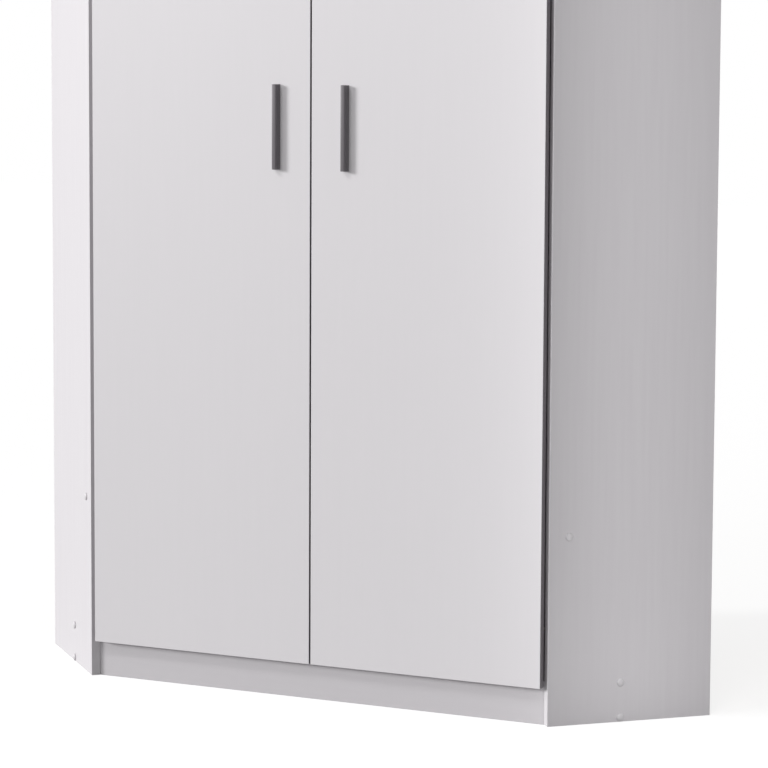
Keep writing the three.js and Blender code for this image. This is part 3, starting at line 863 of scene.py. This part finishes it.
def rail_foot(low, high):
    """The foot plate with its stem and screws, in place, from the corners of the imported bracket."""
    wide = (high.x - low.x) / MM
    stem_end = (high.z - rail_middle.z) / MM - rail_radius - STEM_GAP
    parts = [
        block(wide, wide, 0, FOOT_THICK, FOOT_EDGE, FOOT_CORNER),
        block(SOCKET_DEPTH + SOCKET_WALL, STEM_WIDTH, STEM_START, stem_end, SOCKET_EDGE)]
    for end in (-1, 1):
        parts.append(moved(screw_head(*FOOT_SCREW, turn=20 * end), y=end * FOOT_SCREW_PLACE, z=FOOT_THICK))
    foot_middle = Vector(((low.x + high.x) / 2, rail_middle.y, high.z))
    return joined(parts, set_on(foot_middle, -UP, Vector((0, 1, 0))))


for word, side in SIDES.items():
    node = f"{word}_rail_bracket"
    mesh = joined([rail_socket(side), rail_foot(*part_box(node))], Matrix.Identity(4))
    make_piece(f"{word}_rail_socket", mesh, (zinc_plate,), "carcass", [node], smooth=35)
print(f"{len(SIDES)} rail brackets")

# %% [markdown]
# A concealed hinge cup is deep-drawn steel: a round bowl sunk into the door, with a flat rim. The
# punch leaves the bowl's floor and lip rounded. The profile has points for those rounds, because a
# bevel would have to be different on every ring.

# %% The bowl of a hinge cup
CUP_OUTER = 17.2
CUP_SHEET = 0.9
CUP_DEPTH = 11.5
RIM_OUTER = 19.5
RIM_LOW = 0.3
RIM_HIGH = 1.7
RIM_CUT = 0.3
FLOOR_ROUND, FLOOR_CUT = 2.5, 0.8       # outside: how far the round reaches, and the cut at its middle
INNER_ROUND, INNER_CUT = 2.2, 0.7       # the same inside, on the floor
INNER_WALL_START = 3                    # above the bowl's lowest point
LIP_ROUND, LIP_CUT = 0.7, 0.2


def bowl_profile():
    """Half of the bowl's section, from its lowest point over the rim to the floor inside."""
    outer, inner = CUP_OUTER, CUP_OUTER - CUP_SHEET
    bottom, floor = -CUP_DEPTH, CUP_SHEET - CUP_DEPTH
    outside = [
        (0, bottom), (outer - FLOOR_ROUND, bottom), (outer - FLOOR_CUT, bottom + FLOOR_CUT),
        (outer, bottom + FLOOR_ROUND), (outer, RIM_LOW)]
    rim = [
        (RIM_OUTER, RIM_LOW), (RIM_OUTER, RIM_HIGH - RIM_CUT), (RIM_OUTER - RIM_CUT, RIM_HIGH),
        (inner + LIP_ROUND, RIM_HIGH), (inner + LIP_CUT, RIM_HIGH - LIP_CUT), (inner, RIM_HIGH - LIP_ROUND)]
    inside = [
        (inner, bottom + INNER_WALL_START), (inner - INNER_CUT, floor + INNER_CUT),
        (inner - INNER_ROUND, floor), (0, floor)]
    return outside + rim + inside


print(f"a bowl {2 * CUP_OUTER} mm across, {CUP_DEPTH} mm deep and {CUP_SHEET} mm thick")

# %% [markdown]
# Two ears stand out from the rim and carry the cup's screws, which lie further from the door's edge
# than the bowl. Rim and ears could be one outline, but every arc of it would have to be worked out.
# Instead each ear is a block with round corners, and a short strip joins it to the rim.

# %% Hinge cups with their ears
LEVELS = ("low", "middle", "high")
EAR_INWARD = 6                  # from the bowl's middle, away from the door's edge
EAR_SPAN = 48
EAR_RADIUS = 6.5
EAR_EDGE = 0.3
EAR_CORNER = 6.4                # almost the radius, so that the ear's end is round
EAR_SCREW = (3.6, 1.3)
BRIDGE_START = 16.6             # where the strip from the rim to an ear begins
BRIDGE_DROP = 0.02              # it lies this much lower than the ear
BRIDGE_EDGE = 0.25


def hinge_cup(side):
    """A hinge cup on the bench, its bowl below zero, its screws towards the middle of the door."""
    ear_x = -side * EAR_INWARD
    half_span = EAR_SPAN / 2
    parts = [lathe(bowl_profile(), segments=56)]
    for end in (-1, 1):
        ear = block(2 * EAR_RADIUS, 2 * EAR_RADIUS, RIM_LOW, RIM_HIGH, EAR_EDGE, EAR_CORNER)
        bridge = block(
            2 * EAR_RADIUS, half_span - BRIDGE_START, RIM_LOW, RIM_HIGH - BRIDGE_DROP, BRIDGE_EDGE)
        screw = screw_head(*EAR_SCREW, turn=25 * end)
        parts.append(moved(ear, ear_x, end * half_span))
        parts.append(moved(bridge, ear_x, end * (half_span + BRIDGE_START) / 2))
        parts.append(moved(screw, ear_x, end * half_span, RIM_HIGH))
    return parts


for word, side in SIDES.items():
    for level in LEVELS:
        node = f"{word}_hinge_cup_{level}"
        low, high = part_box(node)
        middle = (low + high) / 2
        middle.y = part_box(f"{word}_door")[1].y
        mesh = joined(hinge_cup(side), set_on(middle, (0, 1, 0)))
        make_piece(
            f"{word}_cup_{level}", mesh, (nickel_plate,), f"{word}_door", [node], smooth=40)
print(f"{len(SIDES) * len(LEVELS)} hinge cups, with screws {EAR_SPAN} mm apart")

# %% [markdown]
# Plates, arms and links could be built again from blocks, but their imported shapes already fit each
# other closely. They are stamped from sheet, so the plates and arms get a fine round along the cut
# edges. One tiny edge would hold back the whole bevel, so tiny edges are merged first, and the
# bevel's own limit is off. The links are of thin sheet with many short edges, and stay as they are.

# %% Hinge plates, arms and links
STAMPED_EDGE = {"plate": 0.25 * MM, "arm": 0.15 * MM}
TINY_EDGE = 0.1 * MM
for word in SIDES:
    for part, body in (("plate", "carcass"), ("arm", "carcass"), ("link", f"{word}_links")):
        for level in LEVELS:
            node = f"{word}_hinge_{part}_{level}"
            mesh = merged_copy(node)
            if part in STAMPED_EDGE:
                bmesh.ops.remove_doubles(mesh, verts=mesh.verts, dist=TINY_EDGE)
                bmesh.ops.dissolve_limit(mesh, angle_limit=FLAT, verts=mesh.verts, edges=mesh.edges)
                break_edges(mesh, STAMPED_EDGE[part], clamp=False)
            make_piece(
                f"{word}_{part}_{level}", mesh, (nickel_plate,), body, [node], smooth=30)
print(f"{len(SIDES) * len(LEVELS)} hinges with a plate, an arm and a link each")

# %% [markdown]
# Two machine screws hold each handle through the door, so their heads show on its back. Their shanks
# could be drawn too, but nobody sees them inside the door. So only the heads are drawn, and the two
# of a handle are one piece.

# %% Handle screws
HANDLE_SPAN = 128
HANDLE_SCREW = (3.9, 2.0)
for word in SIDES:
    low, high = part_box(f"{word}_handle")
    middle = (low + high) / 2
    middle.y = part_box(f"{word}_door")[1].y
    heads = []
    for end in (-1, 1):
        place = middle + end * HANDLE_SPAN / 2 * MM * UP
        heads.append(joined([screw_head(*HANDLE_SCREW, turn=30 * end)], set_on(place, (0, 1, 0))))
    mesh = joined(heads, Matrix.Identity(4))
    make_piece(
        f"{word}_handle_screws", mesh, (zinc_plate,), f"{word}_door", smooth=35)
print(f"handle screws {HANDLE_SPAN} mm apart")

# %% [markdown]
# The back panels are nailed to the corner post, to the side panels and to four of the level boards.
# The nails' heads could be dots in the material, but they would look flat from close by. So each is
# a low cone of ten sides, and those of one panel are one piece.

# %% Nails in the back panels
NAILED_BOARDS = ("bottom_board", "lower_shelf", "hat_shelf", "top_board")
NAIL_STEP = 120
NAIL_EDGE = 7                   # from the panel's lower and upper edge
POST_INSET = 30                 # from the edge at the corner post
SIDE_INSET = 4                  # from the edge at the side panel
NAIL_RADIUS = 1.5
NAIL_RISE = 0.5
NAIL_RIM = 0.3


def nail_places(near, far, bottom, top):
    """Where the nails are on a panel, in millimetres along it and above the floor."""
    first, last = near + POST_INSET, far - SIDE_INSET
    rows = round((top - bottom) / NAIL_STEP)
    columns = round((far - near) / NAIL_STEP)
    places = []
    for row in range(rows + 1):
        rise = bottom + NAIL_EDGE + (top - bottom - 2 * NAIL_EDGE) * row / rows
        places += [(first, rise), (last, rise)]
    for board in NAILED_BOARDS:
        board_low, board_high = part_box(board)
        rise = min((board_low.z + board_high.z) / 2 / MM, top - NAIL_EDGE)
        places += [(first + (last - first) * column / columns, rise) for column in range(1, columns)]
    return places


for word, side in SIDES.items():
    node = f"{word}_back_panel"
    along, outwards = slanting_ways(side)
    low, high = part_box(node)
    near, far = (value / MM for value in reach(node, along))
    panel_face = reach(node, outwards)[1]
    nails = []
    for across, rise in nail_places(near, far, low.z / MM, high.z / MM):
        place = along * across * MM + outwards * panel_face
        place.z = rise * MM
        head = lathe([(0, NAIL_RISE), (NAIL_RADIUS, NAIL_RIM), (NAIL_RADIUS, 0), (0, 0)], segments=10)
        nails.append(joined([head], set_on(place, outwards)))
    print(f"{len(nails)} nails in the {word} back panel")
    mesh = joined(nails, Matrix.Identity(4))
    make_piece(f"{word}_back_nails", mesh, (zinc_plate,), "carcass", smooth=40)

# %% [markdown]
# The wardrobe stands in a plain white studio. A truly white floor and sky would light it from all
# sides and wash out its shadows. So both only look white to the camera and in reflections: what
# they really send onto the wardrobe is a softer, greyer light. The Light Path node tells such rays
# apart.

# %% Sky
SKY_LIGHT = 0.28                # of the brightness that the camera sees
WHITE = (1.0, 1.0, 1.0, 1.0)


def seen_directly(tree):
    """1 for rays from the camera, from gloss or through clear plastic, and 0 for other rays."""
    path = add_node(tree, "LightPath")
    camera_or_gloss = add_node(
        tree, "Math", links={0: path.outputs["Is Camera Ray"], 1: path.outputs["Is Glossy Ray"]},
        operation="ADD")
    any_of_them = add_node(
        tree, "Math", links={0: camera_or_gloss.outputs[0], 1: path.outputs["Is Transmission Ray"]},
        operation="ADD", use_clamp=True)
    return any_of_them.outputs[0]


world = bpy.data.worlds.new("white_studio")
bpy.context.scene.world = world
world.use_nodes = True
tree = world.node_tree
sky = tree.nodes["Background"]
sky.inputs["Color"].default_value = WHITE
strength = add_node(tree, "MapRange", {"To Min": SKY_LIGHT, "To Max": 1.0}, {"Value": seen_directly(tree)})
wire(tree, sky, {"Strength": strength.outputs[0]})
print(f"the sky lights the wardrobe with {SKY_LIGHT:.0%} of what the camera sees")

# %% [markdown]
# A studio has a paper sweep that runs up behind the object, so that no horizon shows. It could be
# modelled, but it would stand in the way of a view from behind. So the floor is flat, with matt grey
# paint that glows for the camera until it is as white as the sky. The paint still takes the shadow
# at the foot of the wardrobe.

# %% Floor
FLOOR_HALF = 14.0
FLOOR_GLOW = 0.78               # added to what the camera sees of the paint

floor_mesh = bmesh.new()
bmesh.ops.create_grid(floor_mesh, x_segments=1, y_segments=1, size=FLOOR_HALF)
floor_data = bpy.data.meshes.new("floor")
floor_mesh.to_mesh(floor_data)
floor_mesh.free()
floor = bpy.data.objects.new("floor", floor_data)
bpy.context.collection.objects.link(floor)
floor_paint, tree, shader = new_material("pale_studio_floor", Base_Color=linear("A0A0A0"), Roughness=0.9)
glow_level = add_node(tree, "Math", {1: FLOOR_GLOW}, {0: seen_directly(tree)}, operation="MULTIPLY")
glow = add_node(tree, "Emission", {"Color": WHITE}, {"Strength": glow_level.outputs[0]})
paint_and_glow = add_node(tree, "AddShader", links={0: shader.outputs[0], 1: glow.outputs[0]})
wire(tree, tree.nodes["Material Output"], {"Surface": paint_and_glow.outputs[0]})
floor_data.materials.append(floor_paint)
floor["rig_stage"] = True
print(f"a floor {2 * FLOOR_HALF:.0f} m wide")

# %% [markdown]
# The main light comes from far away on the left, so it falls evenly over the whole height. It
# throws the soft shadow beside each handle. A large lamp near the doors would soften that shadow
# until it is gone, so this one is a sun of limited width. A soft box high up in front of the doors
# brightens their upper part.

# %% Lamps for the doors
SUN_TURN = -58                  # degrees from the doors' normal, to the left
SUN_HEIGHT = 12                 # degrees above the horizon
SUN_WIDTH = 15                  # degrees across, as the wardrobe sees it
SUN_AWAY = 6                    # metres; only its direction counts
SUN_POWER = 2.27
BOX_PLACE = Vector((-1.05, -2.3, 2.8))
BOX_AIM = 0.28                  # metres above the middle of the doors
BOX_SIZE = (1.0, 0.6)
BOX_POWER = 21


def towards(turn, height):
    """The direction from the wardrobe to a light at some turn from the front and some height."""
    around, above = math.radians(turn), math.radians(height)
    return Vector((math.sin(around) * math.cos(above), -math.cos(around) * math.cos(above), math.sin(above)))


def lamp(name, kind, power, place, target):
    """A light that looks from a place at a target and that the camera itself doesn't see."""
    data = bpy.data.lights.new(name, kind)
    data.energy = power
    made = bpy.data.objects.new(name, data)
    bpy.context.collection.objects.link(made)
    made.location = place
    made.rotation_euler = (target - place).to_track_quat("-Z", "Y").to_euler()
    made.visible_camera = False
    return data


def soft_box(name, power, place, target, box_size):
    """A rectangular area light."""
    data = lamp(name, "AREA", power, place, target)
    data.shape = "RECTANGLE"
    data.size, data.size_y = box_size


door_low, door_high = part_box("left_door")
door_middle = Vector((0, door_low.y, (door_low.z + door_high.z) / 2))
sun_place = door_middle + SUN_AWAY * towards(SUN_TURN, SUN_HEIGHT)
lamp("far_key", "SUN", SUN_POWER, sun_place, door_middle).angle = math.radians(SUN_WIDTH)
soft_box("door_soft_box", BOX_POWER, BOX_PLACE, door_middle + BOX_AIM * UP, BOX_SIZE)
print(f"the soft box hangs {(BOX_PLACE - door_middle).length:.1f} m from the middle of the doors")

# %% [markdown]
# The right side panel turns away from the main light. A weak upright strip stands close to it, near
# its front edge, and looks towards the wall. It lights the panel's middle more than its edges,
# brightens the right edge of the right door, and gives the screw caps a light side and a dark one.
# The floor cuts off the strip's lower end, so a faint low box makes up for that.

# %% Lamps for the right side panel
STRIP_SHARE = 0.12              # of the panel's depth, from its front edge
STRIP_TARGET_SHARE = 2.1        # where it is aimed, on the same scale
STRIP_AWAY = 0.36
STRIP_HEIGHT = 0.58
STRIP_SIZE = (0.15, 2.4)
STRIP_POWER = 3.24
LOW_BOX_SHARE = 0.6
LOW_BOX_AWAY = 0.28
LOW_BOX_HEIGHT = 0.03
LOW_BOX_SIZE = (0.3, 0.05)
LOW_BOX_POWER = 0.095
right_out, right_along = slanting_ways(1)


def on_right_side(share, height):
    """A place on the right side panel's outer face."""
    front_edge, wall_edge = reach("right_side", right_along)
    place = right_along * (front_edge + share * (wall_edge - front_edge))
    place += right_out * reach("right_side", right_out)[1]
    place.z = height
    return place


strip_place = on_right_side(STRIP_SHARE, STRIP_HEIGHT) + STRIP_AWAY * right_out
strip_target = on_right_side(STRIP_TARGET_SHARE, STRIP_HEIGHT)
soft_box("right_strip", STRIP_POWER, strip_place, strip_target, STRIP_SIZE)
foot_place = on_right_side(LOW_BOX_SHARE, LOW_BOX_HEIGHT)
low_box_place = foot_place + LOW_BOX_AWAY * right_out
soft_box("right_foot_box", LOW_BOX_POWER, low_box_place, foot_place, LOW_BOX_SIZE)
print(f"{len(bpy.data.lights)} lamps")

# %% [markdown]
# The small fasteners must not stand far out of the imported model. That could be judged by eye, but a
# millimetre is hard to see, so the finished wardrobe's size is printed, to set beside the model's size
# printed at the start.

# %% The size at the end
low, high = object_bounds()
print("visual box", [round(v / MM, 1) for v in (*low, *high)])
